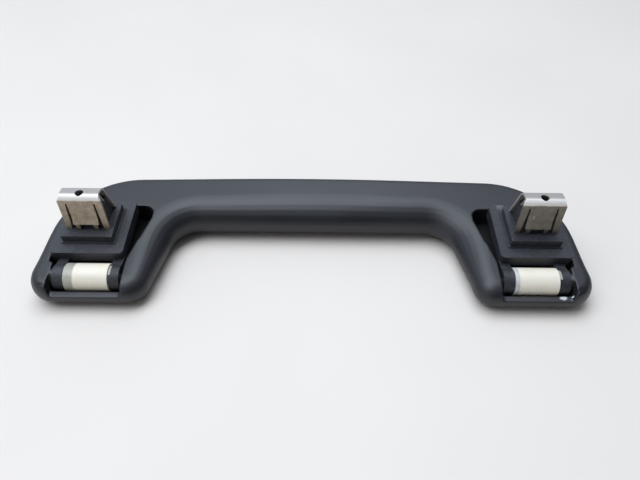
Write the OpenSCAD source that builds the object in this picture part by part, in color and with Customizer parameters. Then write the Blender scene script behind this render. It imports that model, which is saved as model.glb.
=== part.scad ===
// Folding roof grab handle for a car, seen as it lies on its front with the fixings up.
// X runs along the handle, -Y is the hinge side, +Y the grip side, +Z points to the roof.

/* [Handle plan] */
// Largest half length of the handle, at the hinge ends
half_len = 120.9; // [112:0.1:128]
// How much shorter each end is at the far edge, before the corner is rounded
end_taper = 9; // [7:0.1:11]
// Distance from the hinge side of the seat to the far edge of the grip bar
far_y = 50.8; // [46:0.1:58]
// Distance from the hinge side of the seat to the near edge of the end bosses
nose_y = 17; // [15.5:0.1:20]
// Width of the grip bar between its near and far edges
bar_w = 25.2; // [24:0.1:28]
// Width of each leg at the hinge side
leg_w = 50.6; // [49:0.1:54]
// How much wider each leg is where it meets the bar
leg_flare = 7.7; // [6:0.1:10]
// Slope of the far edge on each side of its gentle bow, in degrees
far_slope = 1.6; // [0.8:0.1:2]
// Radius of the swept far corners
far_corner_r = 35; // [28:1:38]
// Radius of the outer corners at the hinge
nose_outer_r = 11; // [9:0.5:12]
// Radius of the inner corners at the hinge
nose_inner_r = 9; // [8.6:0.1:12]
// Radius of the flare between a leg and the bar
hand_r = 13; // [8:0.5:18]

/* [Handle section] */
// Height of the seat plane above the flat rear of the handle
rear_drop = 3.5; // [3:0.1:4]
// Thickness of the end bosses at the hinge pins
boss_t = 14; // [13.4:0.1:16]
// Slope of the front face, thicker towards the grip bar, in degrees
front_slope = 6.5; // [4:0.1:8]
// Width of the round-over on the near side of the bar
bar_round = 14; // [9:0.5:15]
// Width of the round-over along the far edge
far_round = 2.5; // [1.5:0.1:4]
// Width of the round-over on the outer side at the hinge
nose_round = 4.6; // [4:0.1:5.4]
// Width of the round-over on the hand side of the legs
leg_round = 7.8; // [7:0.1:8.4]
// Width of the flat strip left along the front of the bar
front_flat = 1.6; // [0.4:0.2:4]

/* [Hinge] */
// Distance of the hinge pin from the hinge side of the seat
pin_y = 7; // [6.8:0.05:7.4]
// Depth of the hinge pin below the seat plane
pin_z = 7.6; // [7.4:0.05:7.9]
// Diameter of the hinge pins
pin_d = 3; // [2.5:0.1:3.2]
// Diameter of the barrels
barrel_d = 11.9; // [11:0.1:12.2]
// Length of the barrels
barrel_len = 18.3; // [16:0.1:18.6]
// Diameter of the bracket knuckles
knuckle_d = 11.2; // [10.4:0.1:11.6]
// Length of each knuckle
knuckle_len = 4.4; // [3.6:0.1:4.8]
// Running gap between moving faces
gap = 0.3; // [0.2:0.05:0.4]
// Radial play of what turns on the pins
play = 0.05; // [0.02:0.01:0.08]
// Length of each pin held in the inner wall of its pocket
pin_hold = 8; // [6:0.5:8]
// Depth of each pin's outer end below the handle's largest half length
pin_recess = 2.6; // [2:0.1:4]

/* [Pocket] */
// Gap between the bracket and the pocket's inner wall
pocket_side = 0.7; // [0.4:0.1:1.6]
// Gap between the bracket and the pocket's outer wall
pocket_end = 1.4; // [0.7:0.1:1.9]
// Reach of the pocket's inner corner beyond the bracket at the grip bar
pocket_reach = 8.5; // [5:0.1:9]
// Clearance around the bracket at the far wall
pocket_gap = 0.45; // [0.3:0.05:0.8]
// Height of the ledge on the near wall below the seat plane
ledge_z = 8.3; // [7.6:0.1:9]
// Gap between the barrel and the near wall
wall_gap = 0.6; // [0.4:0.05:0.8]
// Thickness of the key ribs under the barrels
key_t = 1.3; // [1:0.1:1.6]
// Diameter of the boss round each pin on the pocket's outer wall
pin_boss_d = 7.4; // [6:0.1:9]

/* [Bracket] */
// Distance of the bracket's middle from the end of the handle
mount_in = 25.3; // [24.8:0.1:25.8]
// Width of the bracket flange
flange_w = 31; // [30:0.1:31.6]
// Depth of the bracket flange
flange_d = 30.1; // [28:0.1:32]
// Thickness of the bracket flange
flange_t = 5.6; // [5:0.1:6]
// Radius of the flange corners
flange_r = 1.8; // [1:0.1:3]
// Radius of the flange's outer corner at the grip side, which follows the handle's corner
flange_far_r = 11; // [10:0.5:13]
// Width of the locating step
step_w = 21.6; // [20:0.1:23]
// Depth of the locating step
step_d = 19.1; // [18:0.1:20]
// Distance of the step from the hinge side of the flange
step_y = 5.8; // [5.2:0.1:6.4]
// Height of the locating step
step_h = 3.9; // [3:0.1:5]
// Wall of the hollow underside
skirt = 2; // [1.6:0.1:2.4]

/* [Clip] */
// Width of the spring clip over its near leaf
clip_w = 18.4; // [17:0.1:19.4]
// Width of the spring clip over its far leaf
clip_far_w = 16; // [15:0.1:16.6]
// Thickness of the clip steel
clip_t = 0.8; // [0.6:0.05:1]
// Height of the clip above its step
clip_h = 17.4; // [16:0.1:19]
// Distance of the clip's near leaf from the near side of the step
clip_inset = 4.4; // [4:0.1:4.8]
// Depth of the clip across the feet of its two leaves
clip_d = 13.2; // [12.8:0.1:13.8]
// Width of the spring tongue
tongue_w = 10.8; // [9:0.1:11.4]
// Outward bend of the tongue at its free end
tongue_out = 0.9; // [0.4:0.1:1.2]
// Inward lean of the near leaf from its foot to the fold
clip_lean = 2.3; // [2:0.1:3]
// Inward lean of the far leaf from its foot to the fold
clip_far_lean = 4.2; // [3.6:0.1:4.6]
// Fall of the clip's top from the near fold to the far fold
clip_slope = 1.2; // [0.8:0.1:2.4]
// Height of the moulded core above the step
core_h = 10.4; // [9:0.1:11]
// Radius of the clip's near fold
fold_near_r = 2.3; // [1.5:0.1:2.6]
// Radius of the clip's far fold
fold_far_r = 1.8; // [1.5:0.1:2.2]
// Diameter of the hole in the top of the clip
clip_hole_d = 3.5; // [2.4:0.1:3.8]

/* [Damper and spring] */
// Length of the damper's clear end cap
cap_len = 3.9; // [3:0.1:5]
// Length of the spring sleeve's collar
collar_len = 1.7; // [1.2:0.1:2.4]
// Wall of the barrels
barrel_wall = 1.2; // [1:0.05:1.4]
// Depth of the lugs that key into the knuckles
lug_t = 0.9; // [0.8:0.1:1.6]
// Width of the lugs that key into the knuckles
lug_w = 4.6; // [4:0.1:6]
// Wire diameter of the return spring
wire_d = 0.9; // [0.7:0.05:1]
// Turns of the return spring
spring_turns = 8; // [6:1:10]

/* [Hidden] */

fine = 64;      // facets of the bearing rounds
coarse = 24;    // facets of small rounds
over = 1;       // how far a cutting tool runs past a face

black = [0.09, 0.09, 0.10];
charcoal = [0.24, 0.25, 0.27];
steel = [0.66, 0.64, 0.60];
cream = [0.93, 0.91, 0.82];
clear_grey = [0.72, 0.75, 0.68];

// Places that follow from the driving sizes
half_len_far = half_len - end_taper;
hand_half_near = half_len - leg_w;
hand_half = hand_half_near - leg_flare;
mount_x = half_len - mount_in;
pocket_in = mount_x - flange_w / 2 - pocket_side;
pocket_in_far = mount_x - flange_w / 2 - pocket_reach;
pocket_out = mount_x + flange_w / 2 + pocket_end;
near_bar_y = far_y - bar_w;
rear_z = -rear_drop;
boss_z = rear_z - boss_t;
far_under = (bar_w - front_flat) / 2;
front_rise = tan(front_slope);
base_z = front_z(far_y - far_under);
mid_y = (far_y - nose_y) / 2;
wall_y = -pin_y - barrel_d / 2 - wall_gap;
floor_z = -pin_z - barrel_d / 2 - wall_gap;
hinge_in = mount_x - flange_w / 2;
barrel_in = hinge_in + knuckle_len + gap;
barrel_out = barrel_in + barrel_len;
hinge_out = barrel_out + gap + knuckle_len;
pin_in = pocket_in - pin_hold;
pin_out = half_len - pin_recess;
bore_r = pin_d / 2 + play;
barrel_bore_r = barrel_d / 2 - barrel_wall;
shaft_r = 3.4;
seal_wire = 1.1;

// Height of the sloping front face at a place in Y
function front_z(y) = boss_z - front_rise * (y + pin_y);

// Outline tools. A corner is [x, y, radius, steps] and more values ride along behind.
function unit(v) = v / norm(v);
function turn(a, b, c) = cross(b - a, c - b) > 0 ? 1 : -1;
function xy(c) = [c[0], c[1]];
function arc_at(a, b, c, r, n) =
    let (u = unit(a - b), v = unit(c - b), half = acos(u * v) / 2,
        centre = b + unit(u + v) * r / sin(half), s = turn(a, b, c), start = b + u * r / tan(half) - centre)
    [for (k = [0:n]) let (w = s * k * (180 - 2 * half) / n)
        centre + [start[0] * cos(w) - start[1] * sin(w), start[0] * sin(w) + start[1] * cos(w)]];
function corner(cs, k) =
    let (n = len(cs), a = xy(cs[(k + n - 1) % n]), b = xy(cs[k]), c = xy(cs[(k + 1) % n]))
    cs[k][2] > 0 ? arc_at(a, b, c, cs[k][2], cs[k][3]) : [b];
function rounded(cs) = [for (k = [0:len(cs) - 1]) each corner(cs, k)];

// A bent sheet as a closed outline: the middle line of the sheet is a list of corners
function bend_line(cs) = [for (k = [0:len(cs) - 1])
    each (k == 0 || k == len(cs) - 1 || len(cs[k]) < 4 ? [xy(cs[k])]
        : arc_at(xy(cs[k - 1]), xy(cs[k]), xy(cs[k + 1]), cs[k][2], cs[k][3]))];
function side_of(line, k) =
    let (n = len(line) - 1, a = unit(line[min(k + 1, n)] - line[min(k, n - 1)]),
        b = unit(line[max(k, 1)] - line[max(k - 1, 0)]), m = unit(a + b))
    [-m[1], m[0]] / (m * a);
function sheet(line, t) = concat(
    [for (k = [0:len(line) - 1]) line[k] + side_of(line, k) * t / 2],
    [for (k = [len(line) - 1:-1:0]) line[k] - side_of(line, k) * t / 2]);

// Corners of the handle's plan: [x, y, radius, steps, top round, top depth, under round, steps to the next]
bow_r = 1500;
bow_rise = bow_r * (1 / cos(far_slope) - 1);
far_corner_y = far_y + bow_rise - half_len_far * tan(far_slope);
bar_depth = (rear_z - front_z(near_bar_y + far_under)) / 2;
nose_under = 8;
nose_depth = boss_t / 2 - 0.3;
bow_half = 3;
side_steps = 5;
bar_steps = side_steps + bow_half;
corner_steps = 16;
nose_steps = 10;
nose_outer = [half_len, -nose_y, nose_outer_r, nose_steps, nose_round, nose_depth, nose_under, 1];
far_corner = [half_len_far, far_corner_y, far_corner_r, corner_steps,
    far_round, far_round, far_under, side_steps];
bow = [0, far_y + bow_rise, bow_r, 2 * bow_half, far_round, far_round, far_under, side_steps];
nose_inner = [hand_half_near, -nose_y, nose_inner_r, nose_steps,
    leg_round, nose_depth, nose_under, side_steps];
hand_corner = [hand_half, near_bar_y, hand_r, corner_steps,
    bar_round - 2, bar_depth, far_under - over, bar_steps];
bar_middle = [0, near_bar_y, 0, 0, bar_round, bar_depth, far_under, bar_steps];
function left(c, steps) = [-c[0], c[1], c[2], c[3], c[4], c[5], c[6], steps];
// The outer side comes first, from the left to the right. The hand side has as many points.
plan = [left(nose_outer, side_steps), left(far_corner, side_steps), bow, far_corner, nose_outer,
    nose_inner, hand_corner, bar_middle, left(hand_corner, side_steps), left(nose_inner, 1)];

// Points all round the plan, each with its three section values
function values(c) = [c[4], c[5], c[6]];
function ease(t) = t * t * (3 - 2 * t);
function plan_run(k) =
    let (n = len(plan), here = corner(plan, k), next = corner(plan, (k + 1) % n),
        a = here[len(here) - 1], b = next[0])
    concat([for (p = here) [p, values(plan[k])]],
        [for (j = [1:1:plan[k][7] - 1]) let (t = j / plan[k][7])
            [a + (b - a) * t, values(plan[k]) + (values(plan[(k + 1) % n]) - values(plan[k])) * ease(t)]]);
plan_points = [for (k = [0:len(plan) - 1]) each plan_run(k)];
plan_n = len(plan_points);
function plan_inward(i) =
    let (a = plan_points[(i + plan_n - 1) % plan_n][0], b = plan_points[(i + 1) % plan_n][0], d = unit(b - a))
    [d[1], -d[0]];

// One ring of the handle's skin: angle 90 is the rear flat, 0 the widest line, -90 the front flat
ring_steps = 7;
function skin_point(i, w) =
    let (p = plan_points[i][0], v = plan_points[i][1], inward = plan_inward(i),
        run = w > 0 ? v[0] : v[2], q = p + inward * run * (1 - cos(w)),
        edge_z = rear_z - v[1], low_z = front_z((p + inward * v[2])[1]))
    [q[0], q[1], w > 0 ? edge_z + v[1] * sin(w) : edge_z + (edge_z - low_z) * sin(w)];
ring_angles = [for (k = [ring_steps:-1:-ring_steps]) 90 * k / ring_steps];

module placed() translate([0, -mid_y, -base_z]) children();
module at_pin() translate([0, -pin_y, -pin_z]) rotate([0, 90, 0]) children();
module both_ends() for (side = [0, 1]) mirror([side, 0, 0]) children();
// A solid of revolution on the hinge axis, from one place in X to another
module drum(d, from, to) translate([from, 0, 0]) at_pin() cylinder(d = d, h = to - from, $fn = fine);
module along_x(from, to) translate([from, 0, 0]) rotate([90, 0, 90])
    linear_extrude(height = to - from) children();

// The moulded grip: one skin of rings, with flats at the rear and at the front
module grip_skin() {
    rings = len(ring_angles);
    points = [for (w = ring_angles) for (i = [0:plan_n - 1]) skin_point(i, w)];
    walls = [for (r = [0:rings - 2]) for (i = [0:plan_n - 1]) let (j = (i + 1) % plan_n)
        each [[r * plan_n + j, r * plan_n + i, (r + 1) * plan_n + j],
            [(r + 1) * plan_n + j, r * plan_n + i, (r + 1) * plan_n + i]]];
    // Each flat is a row of strips from the outer side to the hand side, with a fan at each nose
    half = plan_n / 2;
    cap = nose_steps + 3;
    rear = concat(
        [for (j = [plan_n - cap:plan_n - 1 + cap]) [plan_n - 1 - cap, j % plan_n, (j + 1) % plan_n]],
        [for (k = [cap:half - 2 - cap]) [k, k + 1, plan_n - k - 2, plan_n - k - 1]],
        [for (j = [half - 1 - cap:half + cap - 2]) [j, j + 1, half + cap]]);
    front = [for (q = rear) [for (i = [len(q) - 1:-1:0]) (rings - 1) * plan_n + q[i]]];
    polyhedron(points = points, faces = concat(walls, rear, front), convexity = 6);
}

pocket_plan = [
    [pocket_out - 0.9, flange_d + pocket_gap, flange_far_r + pocket_gap, 8],
    [pocket_in_far, flange_d + pocket_gap, 4.5, 6],
    [pocket_in, 0.6, 6, 4],
    [pocket_in, wall_y, 0.8, 3],
    [pocket_out, wall_y, 5, 6]];
ledge_plan = [
    [pocket_in, -pin_y, 0, 0],
    [pocket_in, -nose_y - 4, 0, 0],
    [pocket_out - 6, -nose_y - 4, 0, 0],
    [pocket_out, -pin_y - 2.5, 8, 5],
    [pocket_out, -pin_y, 0, 0]];

// The open pocket for one bracket, and the low ledge of its near wall
module pocket() {
    translate([0, 0, floor_z]) linear_extrude(height = over - floor_z) polygon(rounded(pocket_plan));
    translate([0, 0, -ledge_z]) linear_extrude(height = over + ledge_z) polygon(rounded(ledge_plan));
}
module pin_bore() drum(2 * bore_r, pin_in - 0.2, half_len + over);
module pin_boss() drum(pin_boss_d, hinge_out + gap, pocket_out + over);

// Ribs on the pocket floor that key into a barrel and stop it turning
key_places = [barrel_in + barrel_len / 4, barrel_in + 0.6 * barrel_len];
key_r = barrel_d / 2 - 0.7;
module key_ribs(top) difference() {
    for (x = key_places) translate([x - key_t / 2, wall_y - over, floor_z - over])
        cube([key_t, -pin_y - wall_y + over, top - floor_z + over]);
    drum(2 * key_r, pocket_in, pocket_out);
}
module key_slots(top) difference() {
    for (x = key_places) translate([x - key_t / 2 - 0.1, wall_y, floor_z])
        cube([key_t + 0.2, -pin_y - wall_y + 0.1, top - floor_z + 0.1]);
    drum(2 * key_r - 0.2, pocket_in, pocket_out);
}
low_key = -pin_z - 3.6;
high_key = -pin_z - 1.6;

module grip() color(charcoal) placed() {
    difference() {
        union() {
            difference() {
                grip_skin();
                both_ends() pocket();
            }
            both_ends() pin_boss();
        }
        both_ends() pin_bore();
    }
    mirror([1, 0, 0]) key_ribs(low_key);
    key_ribs(high_key);
}

// The moulded bracket that swings on the pin: flange, step, core and two knuckles
web_d = 7;
function flange_plan(inset) = let (w = flange_w / 2 - inset, r = max(flange_r - inset, 0.5)) [
    [mount_x - w, inset, r, 4], [mount_x + w, inset, r, 4],
    [mount_x + w, flange_d - inset, flange_far_r - inset, 8], [mount_x - w, flange_d - inset, r, 4]];
module step_block(grow, height) translate([mount_x - step_w / 2 - grow, step_y - grow, 0])
    cube([step_w + 2 * grow, step_d + 2 * grow, height]);

// Clip and core share one end view: the outside of the clip in Y and Z
clip_near = step_y + clip_inset;
clip_far = clip_near + clip_d;
clip_top = step_h + clip_h;
mid = clip_t / 2;
clip_line = bend_line([
    [clip_near + mid, step_h],
    [clip_near + clip_lean + mid, clip_top - mid, fold_near_r, 7],
    [clip_far - clip_far_lean - mid, clip_top - clip_slope - mid, fold_far_r, 7],
    [clip_far - mid, step_h]]);
core_gap = clip_t + 0.15;
core_top = step_h + core_h;
core_lean = clip_lean * core_h / clip_h;
core_far_lean = clip_far_lean * core_h / (clip_h - clip_slope) + 0.1;
core_view = [
    [clip_near + core_gap, step_h - over], [clip_near + core_gap, step_h],
    [clip_near + core_gap + core_lean, core_top], [clip_far - core_gap - core_far_lean, core_top],
    [clip_far - core_gap, step_h], [clip_far - core_gap, step_h - over]];
core_half = clip_far_w / 2 - 0.5;

web_top = -0.7 * flange_t;
web_in = flange_r + 3;
module knuckle(from, to) {
    drum(knuckle_d, from, to);
    along_x(from, to) polygon([[-pin_y, -pin_z], [-pin_y, -pin_z + knuckle_d / 2 - 0.3],
        [0, web_top], [web_in, web_top], [web_in, -flange_t], [-pin_y + 3, -pin_z - knuckle_d / 2 + 0.8]]);
}
module lug(from, to, grow) intersection() {
    drum(knuckle_d + 2 * grow, from, to);
    translate([from, -pin_y - lug_w / 2 - grow, -pin_z + shaft_r - 1 - grow])
        cube([to - from, lug_w + 2 * grow, knuckle_d]);
}

// Hollow underside with a cross rib and two long ribs
module underside() {
    rib = 1.4;
    cell_w = (flange_w - 2 * skirt - 2 * rib) / 3;
    cell_d = (flange_d - 2 * skirt - web_d - rib) / 2;
    intersection() {
        translate([0, 0, -flange_t - over]) linear_extrude(height = flange_t - skirt + over)
            polygon(rounded(flange_plan(skirt)));
        for (i = [0:2], j = [0:1])
            translate([mount_x - flange_w / 2 + skirt + i * (cell_w + rib),
                skirt + web_d + j * (cell_d + rib), -flange_t - over])
                cube([cell_w, cell_d, flange_t - skirt + over]);
    }
}

// lug_at_inner tells which knuckle takes the lug of what runs in the barrel
module bracket(lug_at_inner) color(black) placed() difference() {
    union() {
        translate([0, 0, -flange_t]) linear_extrude(height = flange_t) polygon(rounded(flange_plan(0)));
        step_block(0.7, 0.5);
        step_block(0, step_h);
        along_x(mount_x - core_half, mount_x + core_half) polygon(core_view);
        knuckle(hinge_in, hinge_in + knuckle_len);
        knuckle(barrel_out + gap, hinge_out);
    }
    underside();
    drum(barrel_d + 2 * gap, barrel_in - gap, barrel_out + gap);
    drum(barrel_d + 2 * gap, hinge_out, pocket_out);
    drum(2 * bore_r, hinge_in - over, hinge_out + over);
    if (lug_at_inner) lug(barrel_in - gap - lug_t - 0.1, barrel_in - gap + over, 0.1);
    else lug(barrel_out + gap - over, barrel_out + gap + lug_t + 0.1, 0.1);
}
module left_bracket() mirror([1, 0, 0]) bracket(true);
module right_bracket() bracket(false);

// The spring clip: one strip folded over the core, with a tongue cut free low in its near leaf
tongue_half = tongue_w / 2;
window_top = step_h + 0.77 * clip_h;
slot_top = clip_w / 26;
slot_foot = clip_w / 11;
knee = step_h + clip_h / 3;
tongue_foot = step_h + clip_h / 6;
wide_until = clip_near + 0.3 * clip_d;
narrow_from = clip_far - 0.4 * clip_d;
hole_y = clip_near + clip_lean + 1.2 * fold_near_r;
module clip() color(steel) placed() translate([mount_x, 0, 0]) {
    difference() {
        union() {
            intersection() {
                along_x(-clip_w / 2, clip_w / 2) polygon(sheet(clip_line, clip_t));
                linear_extrude(height = clip_top + over) polygon([
                    [-clip_w / 2, 0], [clip_w / 2, 0], [clip_w / 2, wide_until],
                    [clip_far_w / 2, narrow_from], [clip_far_w / 2, clip_far + over],
                    [-clip_far_w / 2, clip_far + over], [-clip_far_w / 2, narrow_from],
                    [-clip_w / 2, wide_until]]);
            }
            tang();
        }
        translate([0, wide_until, 0]) rotate([90, 0, 0]) linear_extrude(height = clip_d / 2) {
            for (side = [-1, 1]) polygon([
                [side * tongue_half, 0], [side * tongue_half, window_top],
                [side * (tongue_half + slot_top), window_top], [side * (tongue_half + slot_foot), 0]]);
            translate([-tongue_half - slot_top / 2, 0]) square([tongue_w + slot_top, knee]);
        }
        translate([0, hole_y, core_top]) cylinder(d = clip_hole_d, h = clip_h, $fn = coarse);
    }
    tongue();
}
function leaf_y(z) = clip_near + mid + clip_lean * (z - step_h) / (clip_h - mid);
tongue_y = leaf_y(tongue_foot) - tongue_out;
tab_t = 0.8 * clip_t;
tab_half = clip_w / 20;
tab_x = 0.35 * tongue_w;
module tongue() {
    along_x(-tongue_half, tongue_half) polygon(sheet([
        [leaf_y(knee + mid), knee + mid], [leaf_y(knee), knee], [tongue_y, tongue_foot]], clip_t));
    for (x = [-tab_x, tab_x])
        along_x(x - tab_half, x + tab_half) polygon(sheet([
            [tongue_y, tongue_foot + mid], [tongue_y, tongue_foot - mid],
            [leaf_y(tongue_foot), step_h + mid]], tab_t));
}
// A tang folded down inside the clip, which presses on the core
tang_top = [clip_near + clip_lean + fold_near_r, clip_top - clip_t];
tang_foot = [clip_near + clip_lean + 2 * fold_near_r, core_top - mid];
module tang() intersection() {
    along_x(tab_half - clip_far_w / 2, clip_far_w / 2 - tab_half)
        polygon(sheet([tang_top, tang_foot], tab_t));
    translate([-clip_w / 2, clip_near, core_top]) cube([clip_w, clip_d, clip_h]);
}
module left_clip() mirror([1, 0, 0]) clip();
module right_clip() clip();

point_len = 0.5;
module pin() color(steel) placed() difference() {
    drum(pin_d, pin_in, pin_out);
    difference() {
        drum(pin_d + over, pin_out - point_len, pin_out + over);
        translate([pin_out - point_len, 0, 0]) at_pin()
            cylinder(d1 = pin_d, d2 = pin_d - 2 * point_len, h = point_len + over / 10, $fn = fine);
    }
}
module left_pin() mirror([1, 0, 0]) pin();
module right_pin() pin();

// Rotary damper on the left pin. Its cap lies to the outside and its lug to the inside.
end_wall = 1.6;
cap_at = barrel_out - cap_len;
rotor_in = barrel_in + end_wall + gap;
rotor_out = cap_at - gap;
module damper_housing() color(cream) placed() mirror([1, 0, 0]) difference() {
    drum(barrel_d, barrel_in, cap_at);
    drum(2 * barrel_bore_r, barrel_in + end_wall, cap_at + over);
    drum(2 * (shaft_r + play), barrel_in - over, barrel_in + end_wall + over);
    key_slots(low_key);
}
module damper_cap() color(clear_grey) placed() mirror([1, 0, 0]) difference() {
    union() {
        drum(barrel_d, cap_at, barrel_out);
        drum(2 * barrel_bore_r - 0.1, cap_at - gap / 2, cap_at);
    }
    drum(2 * bore_r + 0.2, cap_at - over, barrel_out + over);
    key_slots(low_key);
}
seal_x = rotor_in + seal_wire / 2 + 0.5;
seal_ring_r = barrel_bore_r - seal_wire / 2 - 0.02;
module damper_rotor() color(clear_grey) placed() mirror([1, 0, 0]) difference() {
    union() {
        drum(2 * shaft_r, barrel_in - gap, rotor_in + over);
        drum(2 * (barrel_bore_r - 0.25), rotor_in, rotor_out);
        lug(barrel_in - gap - lug_t, barrel_in - gap, 0);
    }
    drum(2 * bore_r, barrel_in - lug_t - over, rotor_out + over);
    difference() {
        drum(2 * barrel_bore_r, seal_x - seal_wire / 2 - 0.05, seal_x + seal_wire / 2 + 0.05);
        drum(2 * (seal_ring_r - seal_wire / 2 - 0.02), seal_x - 2, seal_x + 2);
    }
}
module damper_seal() color([0.05, 0.05, 0.05]) placed() mirror([1, 0, 0])
    translate([seal_x, 0, 0]) at_pin() rotate_extrude($fn = fine)
        translate([seal_ring_r, 0]) circle(d = seal_wire, $fn = coarse);

// Return spring cartridge on the right pin. Its collar lies to the inside and its lug to the outside.
collar_out = barrel_in + collar_len;
plug_len = 3;
collar_step = 0.8;
wire_gap = 0.05;
module spring_sleeve() color(cream) placed() difference() {
    drum(barrel_d, collar_out, barrel_out);
    drum(2 * barrel_bore_r, collar_out - over, barrel_out - end_wall);
    drum(2 * (shaft_r + play), collar_out, barrel_out + over);
    key_slots(high_key);
}
module spring_collar() color([0.86, 0.86, 0.84]) placed() difference() {
    union() {
        drum(barrel_d, barrel_in, collar_out);
        drum(2 * barrel_bore_r - 0.1, collar_out, collar_out + collar_step);
    }
    drum(2 * bore_r + 0.2, barrel_in - over, collar_out + 2);
}
module spring_plug() color(clear_grey) placed() difference() {
    union() {
        drum(2 * shaft_r, barrel_out - end_wall - plug_len, barrel_out + gap);
        lug(barrel_out + gap, barrel_out + gap + lug_t, 0);
    }
    drum(2 * bore_r, barrel_out - end_wall - plug_len - over, barrel_out + lug_t + over);
}

// The wound wire: a tube along a helix with a straight tail at each end
coil_r = (bore_r + barrel_bore_r) / 2 - 0.1;
coil_from = collar_out + collar_step + wire_d / 2 + wire_gap;
coil_to = barrel_out - end_wall - plug_len - wire_d / 2 - wire_gap;
coil_steps = 12;
whole_turn = 360;
tube_sides = 6;
coil_n = spring_turns * coil_steps;
function coil_point(k) = let (w = whole_turn * k / coil_steps)
    [coil_from + (coil_to - coil_from) * k / coil_n, -pin_y + coil_r * cos(w), -pin_z + coil_r * sin(w)];
function tube_ring(p, w) = [for (j = [0:tube_sides - 1]) let (a = whole_turn * j / tube_sides)
    p + [sin(a) * wire_d / 2, cos(a) * cos(w) * wire_d / 2, cos(a) * sin(w) * wire_d / 2]];
module return_spring() color(steel) placed() {
    points = [for (k = [0:coil_n]) each tube_ring(coil_point(k), whole_turn * k / coil_steps)];
    walls = [for (k = [0:coil_n - 1]) for (j = [0:tube_sides - 1]) let (m = (j + 1) % tube_sides)
        each [[k * tube_sides + j, k * tube_sides + m, (k + 1) * tube_sides + m],
            [k * tube_sides + j, (k + 1) * tube_sides + m, (k + 1) * tube_sides + j]]];
    first = [[for (j = [tube_sides - 1:-1:0]) j]];
    last = [[for (j = [0:tube_sides - 1]) coil_n * tube_sides + j]];
    polyhedron(points = points, faces = concat(walls, first, last), convexity = 10);
}

grip();
left_bracket();
right_bracket();
left_clip();
right_clip();
left_pin();
right_pin();
damper_housing();
damper_cap();
damper_rotor();
damper_seal();
spring_sleeve();
spring_collar();
spring_plug();
return_spring();
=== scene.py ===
"""Looks of the folding roof grab handle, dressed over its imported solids."""
import math
import bpy
import bmesh
from mathutils import Matrix, Vector


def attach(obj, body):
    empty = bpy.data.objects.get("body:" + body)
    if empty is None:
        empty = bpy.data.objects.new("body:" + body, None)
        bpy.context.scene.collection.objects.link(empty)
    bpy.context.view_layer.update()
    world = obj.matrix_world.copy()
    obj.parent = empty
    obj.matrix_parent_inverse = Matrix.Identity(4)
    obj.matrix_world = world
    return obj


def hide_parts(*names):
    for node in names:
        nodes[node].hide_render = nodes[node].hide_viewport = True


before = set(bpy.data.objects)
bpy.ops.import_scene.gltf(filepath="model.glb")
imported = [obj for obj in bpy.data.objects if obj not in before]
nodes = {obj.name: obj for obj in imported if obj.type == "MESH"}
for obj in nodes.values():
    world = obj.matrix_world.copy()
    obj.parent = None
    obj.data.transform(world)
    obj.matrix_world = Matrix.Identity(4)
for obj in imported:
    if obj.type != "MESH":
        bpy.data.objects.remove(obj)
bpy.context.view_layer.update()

MM = 0.001

# Camera: fitted to the outlines of the flanges, steps and clips
view = bpy.data.cameras.new("photo_view")
view.sensor_width = 36
view.lens = 36 * 548 / 640
view.clip_start = 0.01
camera = bpy.data.objects.new("photo_view", view)
bpy.context.scene.collection.objects.link(camera)
turned = (Matrix.Rotation(math.radians(-0.07), 3, "Z") @ Matrix.Rotation(math.radians(-50.82), 3, "X")
          @ Matrix.Rotation(math.radians(-0.66), 3, "Y") @ Matrix.Rotation(math.radians(90), 3, "X"))
camera.matrix_world = Matrix.Translation(Vector((3.22, -157.81, 205.99)) * MM) @ turned.to_4x4()
bpy.context.scene.camera = camera


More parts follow.
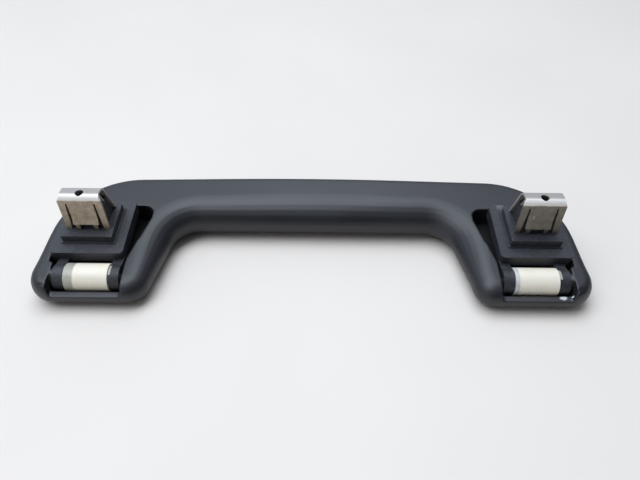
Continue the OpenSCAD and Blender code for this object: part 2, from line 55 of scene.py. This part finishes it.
# Materials
class Finish:
    """One material and short ways to add its nodes."""

    def __init__(self, name, color, rough, metal=0.0):
        self.mat = bpy.data.materials.new(name)
        self.mat.use_nodes = True
        self.tree = self.mat.node_tree
        self.shader = self.tree.nodes["Principled BSDF"]
        self.shader.inputs["Base Color"].default_value = (*color, 1)
        self.shader.inputs["Roughness"].default_value = rough
        self.shader.inputs["Metallic"].default_value = metal
        self.place = self.tree.nodes.new("ShaderNodeTexCoord").outputs["Object"]

    def link(self, a, b):
        self.tree.links.new(a, b)

    def set(self, name, value):
        self.shader.inputs[name].default_value = value

    def drive(self, name, output):
        self.link(output, self.shader.inputs[name])

    def stretched(self, scale):
        node = self.tree.nodes.new("ShaderNodeMapping")
        node.inputs["Scale"].default_value = scale
        self.link(self.place, node.inputs["Vector"])
        return node.outputs["Vector"]

    def noise(self, size_mm, detail=3.0, rough=0.55, place=None, warp=0.0):
        node = self.tree.nodes.new("ShaderNodeTexNoise")
        node.inputs["Scale"].default_value = 1 / (size_mm * MM)
        node.inputs["Detail"].default_value = detail
        node.inputs["Roughness"].default_value = rough
        node.inputs["Distortion"].default_value = warp
        self.link(place or self.place, node.inputs["Vector"])
        return node.outputs["Fac"]

    def cells(self, size_mm, place=None):
        node = self.tree.nodes.new("ShaderNodeTexVoronoi")
        node.inputs["Scale"].default_value = 1 / (size_mm * MM)
        self.link(place or self.place, node.inputs["Vector"])
        return node.outputs["Distance"]

    def ramp(self, value, *stops):
        node = self.tree.nodes.new("ShaderNodeValToRGB")
        line = node.color_ramp.elements
        while len(line) < len(stops):
            line.new(0.5)
        for point, (at, tone) in zip(line, stops):
            point.position = at
            point.color = (*tone, 1) if isinstance(tone, tuple) else (tone, tone, tone, 1)
        self.link(value, node.inputs["Fac"])
        return node.outputs["Color"]

    def span(self, value, low, high, to_low=0.0, to_high=1.0):
        node = self.tree.nodes.new("ShaderNodeMapRange")
        for name, number in (("From Min", low), ("From Max", high), ("To Min", to_low), ("To Max", to_high)):
            node.inputs[name].default_value = number
        self.link(value, node.inputs["Value"])
        return node.outputs["Result"]

    def maths(self, how, a, b):
        node = self.tree.nodes.new("ShaderNodeMath")
        node.operation = how
        for socket, value in zip(node.inputs, (a, b)):
            if isinstance(value, (int, float)):
                socket.default_value = value
            else:
                self.link(value, socket)
        return node.outputs[0]

    def mix(self, fac, a, b):
        node = self.tree.nodes.new("ShaderNodeMix")
        node.data_type = "RGBA"
        for name, value in (("Factor_Float", fac), ("A_Color", a), ("B_Color", b)):
            socket = next(s for s in node.inputs if s.identifier == name)
            if isinstance(value, tuple):
                socket.default_value = (*value, 1)
            elif isinstance(value, (int, float)):
                socket.default_value = value
            else:
                self.link(value, socket)
        return next(s for s in node.outputs if s.identifier == "Result_Color")

    def near(self, at_mm, reach_mm, squash=(1, 1, 1)):
        """1 at a place on the piece, falling to 0 at reach_mm from it."""
        node = self.tree.nodes.new("ShaderNodeVectorMath")
        node.operation = "DISTANCE"
        self.link(self.stretched(squash), node.inputs[0])
        node.inputs[1].default_value = [a * s * MM for a, s in zip(at_mm, squash)]
        return self.span(node.outputs["Value"], 0, reach_mm * MM, 1, 0)

    def bump(self, height, strength, depth_mm, under=None):
        node = self.tree.nodes.new("ShaderNodeBump")
        node.inputs["Strength"].default_value = strength
        node.inputs["Distance"].default_value = depth_mm * MM
        self.link(height, node.inputs["Height"])
        if under:
            self.link(under, node.inputs["Normal"])
        self.drive("Normal", node.outputs["Normal"])
        return node.outputs["Normal"]


def pocket_shade_mask(f):
    """1 in the depth of the two pockets: the base colour there is painted near black as painted shade, and the skin
    is rougher and duller.
    """
    apart = f.tree.nodes.new("ShaderNodeSeparateXYZ")
    f.link(f.place, apart.inputs[0])
    x = f.maths("ABSOLUTE", apart.outputs["X"], 0.0)
    swept = f.maths("MULTIPLY", f.maths("MAXIMUM", f.maths("ADD", apart.outputs["Y"], 16.3 * MM), 0.0), 0.26)
    inner = f.span(f.maths("ADD", x, swept), 78.6 * MM, 79.1 * MM)
    in_x = f.maths("MULTIPLY", inner, f.span(x, 112.7 * MM, 113.1 * MM, 1, 0))
    in_y = f.maths("MULTIPLY", f.span(apart.outputs["Y"], -30.6 * MM, -30.2 * MM),
                   f.span(apart.outputs["Y"], 14 * MM, 14.6 * MM, 1, 0))
    in_z = f.maths("MULTIPLY", f.span(apart.outputs["Z"], 18.4 * MM, 19.0 * MM, 1, 0),
                   f.span(apart.outputs["Z"], 5 * MM, 6 * MM))
    return f.maths("MULTIPLY", f.maths("MULTIPLY", in_x, in_y), in_z)


def moulded_grip():
    f = Finish("soft_grip_plastic", (0.03, 0.032, 0.036), 0.45)
    cloud = f.noise(38, 4, 0.5)
    grain = f.noise(0.55, 2, 0.6)
    pores = f.cells(0.8)
    dull = f.ramp(cloud, (0.3, (0.009, 0.0095, 0.012)), (0.7, (0.014, 0.0145, 0.018)))
    rub = f.span(f.noise(9, 6, 0.7, warp=0.6), 0.62, 0.78)
    tone = f.mix(f.maths("MULTIPLY", rub, 0.35), dull, (0.028, 0.03, 0.035))
    scuffs = None
    for at, reach in SCUFFS:
        spot = f.near(at, reach, (0.5, 1, 1))
        scuffs = spot if scuffs is None else f.maths("MAXIMUM", scuffs, spot)
    ragged = f.span(f.maths("ADD", scuffs, f.span(f.noise(0.7, 5, 0.8), 0, 1, -0.6, 0.6)), 0.4, 0.5)
    in_pocket_shade = pocket_shade_mask(f)
    # Painted shade: the depth of the pockets is darkened to near black.
    tone = f.mix(in_pocket_shade, tone, (0.003, 0.003, 0.0035))
    f.drive("Base Color", f.mix(ragged, tone, (0.62, 0.62, 0.6)))
    f.drive("Roughness", f.maths("MAXIMUM", f.span(cloud, 0.3, 0.7, 0.38, 0.46), f.maths("MULTIPLY", in_pocket_shade, 0.8)))
    f.set("Specular IOR Level", 0.6)
    height = f.maths("ADD", grain, f.maths("MULTIPLY", pores, 0.7))
    f.bump(height, 0.22, 0.05)
    return f.mat


def moulded_bracket():
    f = Finish("bracket_plastic", (0.02, 0.021, 0.024), 0.5)
    cloud = f.noise(9, 4, 0.6)
    tone = f.ramp(cloud, (0.3, (0.012, 0.0125, 0.015)), (0.7, (0.02, 0.021, 0.026)))
    tone = f.mix(f.span(f.noise(1.3, 5, 0.8), 0.42, 0.7), tone, (0.04, 0.043, 0.052))
    worn = f.span(f.maths("MULTIPLY", f.near((84.9, 12.4, 22.7), 7.0), f.noise(0.45, 4, 0.8)), 0.36, 0.46)
    f.drive("Base Color", f.mix(worn, tone, (0.13, 0.13, 0.14)))
    f.drive("Roughness", f.span(cloud, 0.3, 0.7, 0.42, 0.54))
    f.set("Specular IOR Level", 0.55)
    speck = f.span(f.noise(0.45, 3, 0.7), 0.5, 0.72)
    f.bump(f.maths("ADD", f.noise(0.9, 5, 0.75), speck), 0.6, 0.09)
    return f.mat


def clip_steel(name, face, scratch=None):
    """Plated steel, browner and duller on the leaf that faces the hinge: brown tarnish, and on the right clip also
    painted shade.
    """
    f = Finish(name, (0.6, 0.58, 0.54), 0.3, 1.0)
    stain = f.noise(5, 5, 0.65, warp=0.8)
    fleck = f.noise(1.2, 4, 0.7)
    drawn = f.noise(1.4, 4, 0.6, f.stretched((0.08, 1, 1)))
    plate = f.ramp(stain, (0.3, (0.385, 0.365, 0.335)), (0.7, (0.465, 0.445, 0.41)))
    plate = f.mix(f.span(fleck, 0.6, 0.75, 0, 0.35), plate, (0.3, 0.27, 0.22))
    leaf = f.ramp(f.noise(2.6, 5, 0.7, warp=0.5), (0.3, tuple(0.75 * c for c in face)), (0.7, tuple(1.2 * c for c in face)))
    leaf = f.mix(f.span(fleck, 0.56, 0.72, 0, 0.5), leaf, tuple(0.5 * c for c in face))
    if scratch:
        at, reach = scratch
        leaf = f.mix(f.span(f.near(at, reach, (1, 0.3, 0.3)), 0.6, 0.8), leaf, (0.4, 0.38, 0.34))
    across = f.tree.nodes.new("ShaderNodeSeparateXYZ")
    f.link(f.place, across.inputs[0])
    ragged = f.span(stain, 0.3, 0.7, -0.12 * MM, 0.12 * MM)
    below = f.span(f.maths("ADD", across.outputs["Z"], ragged), 41.1 * MM, 41.8 * MM, 1, 0)
    on_leaf = f.maths("MULTIPLY", below, f.span(across.outputs["Y"], -3.4 * MM, -3.0 * MM, 1, 0))
    # Painted highlight: a pale, less metallic band along the near fold, where the bend catches the light.
    fold_highlight = f.maths("MULTIPLY", f.span(f.maths("ADD", across.outputs["Z"], ragged), 41.3 * MM, 42.0 * MM),
                     f.span(across.outputs["Y"], -2.9 * MM, -2.2 * MM, 1, 0))
    plate = f.mix(fold_highlight, plate, (0.92, 0.88, 0.82))
    f.drive("Base Color", f.mix(on_leaf, plate, leaf))
    f.drive("Metallic", f.maths("SUBTRACT", f.span(on_leaf, 0, 1, 0.5, 0.8), f.maths("MULTIPLY", fold_highlight, 0.25)))
    f.drive("Roughness", f.maths("ADD", f.span(stain, 0.3, 0.7, 0.5, 0.4), f.span(drawn, 0.3, 0.7, -0.04, 0.06)))
    f.bump(drawn, 0.12, 0.04)
    return f.mat


def cream_plastic():
    f = Finish("cream_plastic", (0.87, 0.82, 0.68), 0.38)
    f.drive("Base Color", f.ramp(f.noise(6, 3, 0.5), (0.3, (0.88, 0.81, 0.65)), (0.7, (0.92, 0.85, 0.72))))
    f.set("Subsurface Weight", 0.25)
    f.set("Subsurface Radius", (0.004, 0.003, 0.0015))
    f.set("Subsurface Scale", 0.3)
    f.bump(f.noise(0.7, 2, 0.5), 0.08, 0.03)
    return f.mat


def cloudy_plastic():
    f = Finish("cloudy_plastic", (0.62, 0.65, 0.55), 0.3)
    f.drive("Base Color", f.ramp(f.noise(3, 3, 0.5), (0.3, (0.68, 0.67, 0.54)), (0.7, (0.82, 0.8, 0.68))))
    f.set("Transmission Weight", 0.45)
    f.set("IOR", 1.5)
    f.bump(f.noise(0.8, 2, 0.5), 0.08, 0.03)
    return f.mat


def white_plastic():
    f = Finish("collar_plastic", (0.62, 0.62, 0.6), 0.4)
    f.drive("Base Color", f.ramp(f.noise(2, 3, 0.5), (0.3, (0.52, 0.52, 0.51)), (0.7, (0.68, 0.68, 0.66))))
    f.bump(f.noise(0.6, 2, 0.5), 0.08, 0.03)
    return f.mat


def bright_steel(name, grain_mm):
    f = Finish(name, (0.6, 0.6, 0.6), 0.28, 1.0)
    lines = f.noise(grain_mm, 3, 0.6, f.stretched((0.1, 1, 1)))
    f.drive("Roughness", f.span(lines, 0.3, 0.7, 0.22, 0.36))
    f.bump(lines, 0.08, 0.02)
    return f.mat


def seal_rubber():
    f = Finish("seal_rubber", (0.015, 0.015, 0.015), 0.35)
    f.drive("Roughness", f.span(f.noise(1, 3, 0.5), 0.3, 0.7, 0.28, 0.45))
    return f.mat


# White scuffs on the right ledge: a place in the row frame and a reach, in mm
SCUFFS = [((105.1, -31.6, 14.4), 1.5), ((109.3, -31.3, 15.0), 0.9), ((107.7, -30.0, 17.6), 0.6)]


# Pieces
def plain_mesh(obj):
    """What the object looks like with its modifiers, as a mesh of its own."""
    shown = obj.evaluated_get(bpy.context.evaluated_depsgraph_get())
    mesh = bpy.data.meshes.new_from_object(shown)
    obj.modifiers.clear()
    old = obj.data
    obj.data = mesh
    bpy.data.meshes.remove(old)


def welded(node, name, flat=0.5):
    """A merged copy of a CAD node, with its flat faces whole again."""
    form = bmesh.new()
    form.from_mesh(nodes[node].data)
    bmesh.ops.remove_doubles(form, verts=form.verts, dist=0.002 * MM)
    if flat:
        bmesh.ops.dissolve_limit(form, angle_limit=math.radians(flat), verts=form.verts, edges=form.edges)
    mesh = bpy.data.meshes.new(name)
    form.to_mesh(mesh)
    form.free()
    obj = bpy.data.objects.new(name, mesh)
    bpy.context.scene.collection.objects.link(obj)
    return obj


def finish(obj, material, slot, body, *stands_for):
    obj.data.materials.clear()
    obj.data.materials.append(material)
    obj.data.name = obj.name
    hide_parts(*stands_for)
    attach(obj, body)


def edge_softened(node, name, width_mm, sharp=32, segments=2, shaped=None):
    """A copy of a CAD node with a small round on every hard edge."""
    obj = welded(node, name)
    if shaped:
        shaped(obj)
    bevel = obj.modifiers.new("edges", "BEVEL")
    bevel.width = width_mm * MM
    bevel.segments = segments
    bevel.limit_method = "ANGLE"
    bevel.angle_limit = math.radians(sharp)
    bevel.use_clamp_overlap = True
    bevel.miter_outer = "MITER_ARC"
    plain_mesh(obj)
    obj.data.shade_smooth()
    obj.data.set_sharp_from_angle(angle=math.radians(40))
    flats = obj.modifiers.new("flats", "WEIGHTED_NORMAL")
    flats.keep_sharp = True
    flats.weight = 100
    plain_mesh(obj)
    return obj


# Clip outline, in mm from the seat: half widths of the strip along its length
LEAF_HALF, WAIST_HALF, FAR_HALF, FAR_FOOT_HALF = 9.2, 8.1, 8.9, 8.6
SEAT_Y, SEAT_Z, CLIP_X = 16.9, 22.741, 95.6


def between(value, low, high, at_low, at_high):
    part = min(max((value - low) / (high - low), 0), 1)
    return at_low + (at_high - at_low) * part


def strip_half(y, z):
    """Half width of the strip: wide leaves, and a waist over the top."""
    if y < 14.2:
        return between(z, 18.3, 20.5, LEAF_HALF, WAIST_HALF)
    if z > 19.6:
        return WAIST_HALF
    if z > 17:
        return between(z, 17.4, 19.6, FAR_HALF, WAIST_HALF)
    return between(z, 3.9, 12, FAR_FOOT_HALF, FAR_HALF)


def waisted(obj):
    """Gives a clip its waist, its full-width tang and the turned-out toes under its tongue."""
    for vertex in obj.data.vertices:
        x, y, z = vertex.co / MM
        side = 1 if x > 0 else -1
        off = x - side * CLIP_X
        y, z = y + SEAT_Y, z - SEAT_Z
        edge = 1 if off > 0 else -1
        if abs(off) > 7.5:
            off = edge * strip_half(y, z)
        elif 7 < abs(off) < 7.2 and z > 13.5:
            off = edge * (WAIST_HALF - 0.3)
        elif z < 5.2 and 2 < abs(off) < 5.2 and 9.5 < y < 12.5:
            y -= 0.9
        vertex.co = Vector((side * CLIP_X + off, y - SEAT_Y, z + SEAT_Z)) * MM


# Share of the even skin's faces that stays
SKIN_SHARE = 0.5
# Where the pocket's end wall stands beside the outer knuckle and beside the flange, in mm from the handle's
# middle, and where its short slope between the two begins and ends
KNUCKLE_SIDE, FLANGE_SIDE, SLOPE_FROM, SLOPE_TO = 109.8, 111.5, -18.4, -19.2


def snug_pocket(obj):
    """Sets the end walls of the pockets close beside the knuckles and the flanges."""
    form = bmesh.new()
    form.from_mesh(obj.data)
    for y in (SLOPE_FROM, SLOPE_TO):
        bmesh.ops.bisect_plane(form, geom=form.verts[:] + form.edges[:] + form.faces[:], dist=0.001 * MM,
                               plane_co=(0, y * MM, 0), plane_no=(0, 1, 0))
    for vertex in form.verts:
        x, y, z = vertex.co / MM
        wall = FLANGE_SIDE if y > (SLOPE_FROM + SLOPE_TO) / 2 else KNUCKLE_SIDE
        if wall < abs(x) < 112.7 and -30.7 < y < 9 and 7.4 < z < 19.4:
            vertex.co.x = math.copysign(wall, x) * MM
    form.to_mesh(obj.data)
    form.free()


def moulded(node, name, voxel_mm, passes):
    """A copy of a CAD node as one even skin, with every edge a little rounded as moulding leaves it."""
    obj = welded(node, name, flat=0)
    snug_pocket(obj)
    even = obj.modifiers.new("even", "REMESH")
    even.mode = "VOXEL"
    even.voxel_size = voxel_mm * MM
    even.use_smooth_shade = True
    smooth = obj.modifiers.new("soft", "SMOOTH")
    smooth.factor = 0.5
    smooth.iterations = passes
    thin = obj.modifiers.new("thin", "DECIMATE")
    thin.ratio = SKIN_SHARE
    plain_mesh(obj)
    obj.data.shade_smooth()
    return obj


cream, cloudy = cream_plastic(), cloudy_plastic()
# Leaf tones: brown tarnish on both clips; the right clip's is darker as painted shade, for the less lit right end.
steel = {"left": clip_steel("left_clip_steel", (0.4, 0.33, 0.25)),
         "right": clip_steel("right_clip_steel", (0.2, 0.18, 0.15), ((92.6, -4.6, 35.2), 1.2))}
black = moulded_bracket()
finish(moulded("grip", "grip_skin", 0.48, 5), moulded_grip(), "grip_plastic", "handle", "grip")
for side in ("left", "right"):
    finish(edge_softened(f"{side}_bracket", f"{side}_bracket_moulding", 0.3), black,
           "bracket_plastic", f"{side}_fixing", f"{side}_bracket")
    finish(edge_softened(f"{side}_clip", f"{side}_spring_clip", 0.12, 40, shaped=waisted), steel[side],
           "clip_steel", f"{side}_fixing", f"{side}_clip")
finish(edge_softened("damper_housing", "housing_of_damper", 0.25), cream, "cream_plastic", "handle", "damper_housing")
finish(edge_softened("damper_cap", "cap_of_damper", 0.25), cloudy, "clear_plastic", "handle", "damper_cap")
finish(edge_softened("damper_rotor", "rotor_of_damper", 0.12), cloudy, "clear_plastic", "left_fixing", "damper_rotor")
finish(edge_softened("spring_sleeve", "sleeve_of_spring", 0.25), cream, "cream_plastic", "handle", "spring_sleeve")
finish(edge_softened("spring_collar", "collar_of_spring", 0.2), white_plastic(), "white_plastic", "handle",
       "spring_collar")
finish(edge_softened("spring_plug", "plug_of_spring", 0.12), cloudy, "clear_plastic", "right_fixing", "spring_plug")


def wound_tree():
    """Geometry Nodes that wind a round wire along X."""
    tree = bpy.data.node_groups.new("wound_wire", "GeometryNodeTree")
    face = tree.interface
    face.new_socket("Geometry", in_out="INPUT", socket_type="NodeSocketGeometry")
    for name, kind in (("Coil Radius", "Float"), ("Wire Radius", "Float"), ("Turns", "Float"), ("Length", "Float"),
                       ("Start", "Vector"), ("Wire", "Material")):
        face.new_socket(name, in_out="INPUT", socket_type="NodeSocket" + kind)
    face.new_socket("Geometry", in_out="OUTPUT", socket_type="NodeSocketGeometry")
    given = tree.nodes.new("NodeGroupInput").outputs
    coil = tree.nodes.new("GeometryNodeCurveSpiral")
    coil.inputs["Resolution"].default_value = 28
    section = tree.nodes.new("GeometryNodeCurvePrimitiveCircle")
    section.inputs["Resolution"].default_value = 12
    sweep = tree.nodes.new("GeometryNodeCurveToMesh")
    sweep.inputs["Fill Caps"].default_value = True
    turn = tree.nodes.new("GeometryNodeTransform")
    turn.inputs["Rotation"].default_value = Matrix(((0, 0, 1), (1, 0, 0), (0, 1, 0))).to_euler()
    smooth = tree.nodes.new("GeometryNodeSetShadeSmooth")
    real = tree.nodes.new("GeometryNodeRealizeInstances")
    dress = tree.nodes.new("GeometryNodeSetMaterial")
    link = tree.links.new
    link(given["Turns"], coil.inputs["Rotations"])
    link(given["Coil Radius"], coil.inputs["Start Radius"])
    link(given["Coil Radius"], coil.inputs["End Radius"])
    link(given["Length"], coil.inputs["Height"])
    link(given["Wire Radius"], section.inputs["Radius"])
    link(coil.outputs["Curve"], sweep.inputs["Curve"])
    link(section.outputs["Curve"], sweep.inputs["Profile Curve"])
    link(sweep.outputs["Mesh"], turn.inputs["Geometry"])
    link(given["Start"], turn.inputs["Translation"])
    link(turn.outputs["Geometry"], smooth.inputs["Geometry"])
    link(smooth.outputs["Geometry"], real.inputs["Geometry"])
    link(real.outputs["Geometry"], dress.inputs["Geometry"])
    link(given["Wire"], dress.inputs["Material"])
    link(dress.outputs["Geometry"], tree.nodes.new("NodeGroupOutput").inputs["Geometry"])
    return tree


wire_finish = bright_steel("spring_wire", 0.4)
wound = bpy.data.objects.new("wound_spring", bpy.data.meshes.new("wound_spring"))
bpy.context.scene.collection.objects.link(wound)
winding = wound.modifiers.new("winding", "NODES")
winding.node_group = wound_tree()
values = {"Coil Radius": 3.05 * MM, "Wire Radius": 0.45 * MM, "Turns": 8.0, "Length": 10.2 * MM,
          "Start": Vector((87.8, -23.9, 15.141)) * MM, "Wire": wire_finish}
for socket in winding.node_group.interface.items_tree:
    if socket.in_out == "INPUT" and socket.name in values:
        winding[socket.identifier] = values[socket.name]
plain_mesh(wound)
finish(wound, wire_finish, "spring_steel", "handle", "return_spring")
pin_finish = bright_steel("pin_steel", 0.6)
for name, material in (("left_pin", pin_finish), ("right_pin", pin_finish),
                       ("damper_seal", seal_rubber())):
    for k in range(max(1, len(nodes[name].material_slots))):
        if not nodes[name].material_slots:
            nodes[name].data.materials.append(None)
        nodes[name].material_slots[k].material = material

# Floor: the handle lies on its sloping front face
def floor_finish():
    f = Finish("pale_floor", (0.8, 0.8, 0.79), 0.6)
    f.drive("Base Color", f.ramp(f.noise(120, 3, 0.5), (0.3, (0.77, 0.71, 0.635)), (0.7, (0.8, 0.74, 0.665))))
    return f.mat


slope = math.radians(-6.5)
ground = bmesh.new()
bmesh.ops.create_grid(ground, x_segments=2, y_segments=2, size=3.0)
bmesh.ops.transform(ground, verts=ground.verts, matrix=Matrix.Translation(Vector((0, -23.9, 5.2)) * MM)
                    @ Matrix.Rotation(slope, 4, "X"))
floor_mesh = bpy.data.meshes.new("floor")
ground.to_mesh(floor_mesh)
ground.free()
floor_mesh.materials.append(floor_finish())
floor = bpy.data.objects.new("floor", floor_mesh)
bpy.context.scene.collection.objects.link(floor)

# Light: the room is bright overhead and behind, and dim on the camera's side
def room_light():
    world = bpy.data.worlds.new("studio")
    world.use_nodes = True
    tree = world.node_tree
    back = tree.nodes["Background"]
    way = tree.nodes.new("ShaderNodeTexCoord").outputs["Generated"]
    tilt = tree.nodes.new("ShaderNodeVectorMath")
    tilt.operation = "DOT_PRODUCT"
    tilt.inputs[1].default_value = Vector((-0.4, 0.6, 0.6)).normalized()
    tree.links.new(way, tilt.inputs[0])
    ramp = tree.nodes.new("ShaderNodeValToRGB")
    line = ramp.color_ramp.elements
    while len(line) < len(ROOM):
        line.new(0.5)
    for point, (at, tone) in zip(line, ROOM):
        point.position = at
        point.color = (*tone, 1)
    half = tree.nodes.new("ShaderNodeMapRange")
    half.inputs["From Min"].default_value = -1
    tree.links.new(tilt.outputs["Value"], half.inputs["Value"])
    tree.links.new(half.outputs["Result"], ramp.inputs["Fac"])
    seen = tree.nodes.new("ShaderNodeLightPath").outputs["Is Camera Ray"]
    pale = tree.nodes.new("ShaderNodeMix")
    pale.data_type = "RGBA"
    factor, lit, plain = (next(s for s in pale.inputs if s.identifier == name)
                          for name in ("Factor_Float", "A_Color", "B_Color"))
    plain.default_value = (0.72, 0.73, 0.75, 1)
    tree.links.new(seen, factor)
    tree.links.new(ramp.outputs["Color"], lit)
    tree.links.new(next(s for s in pale.outputs if s.identifier == "Result_Color"), back.inputs["Color"])
    back.inputs["Strength"].default_value = 1.0
    bpy.context.scene.world = world


ROOM = [(0.0, (0.02, 0.02, 0.022)), (0.4, (0.055, 0.056, 0.062)), (0.75, (0.35, 0.38, 0.44)), (1.0, (0.7, 0.78, 0.9))]
room_light()


def soft_light(name, at, aim, size, power, tint=(1, 1, 1)):
    lamp = bpy.data.lights.new(name, "AREA")
    lamp.shape = "RECTANGLE"
    lamp.size, lamp.size_y = size
    lamp.energy = power
    lamp.color = tint
    obj = bpy.data.objects.new(name, lamp)
    obj.location = at
    obj.rotation_euler = (Vector(aim) - Vector(at)).to_track_quat("-Z", "Y").to_euler()
    bpy.context.scene.collection.objects.link(obj)


soft_light("overhead", (-0.22, 0.22, 1.0), (0, 0, 0), (1.5, 0.7), 12, (0.88, 0.95, 1.06))
soft_light("window", (-0.8, -0.75, 0.5), (0, 0, 0), (0.7, 0.6), 0.9, (1.0, 0.96, 0.9))
bpy.context.scene.view_settings.view_transform = "Standard"
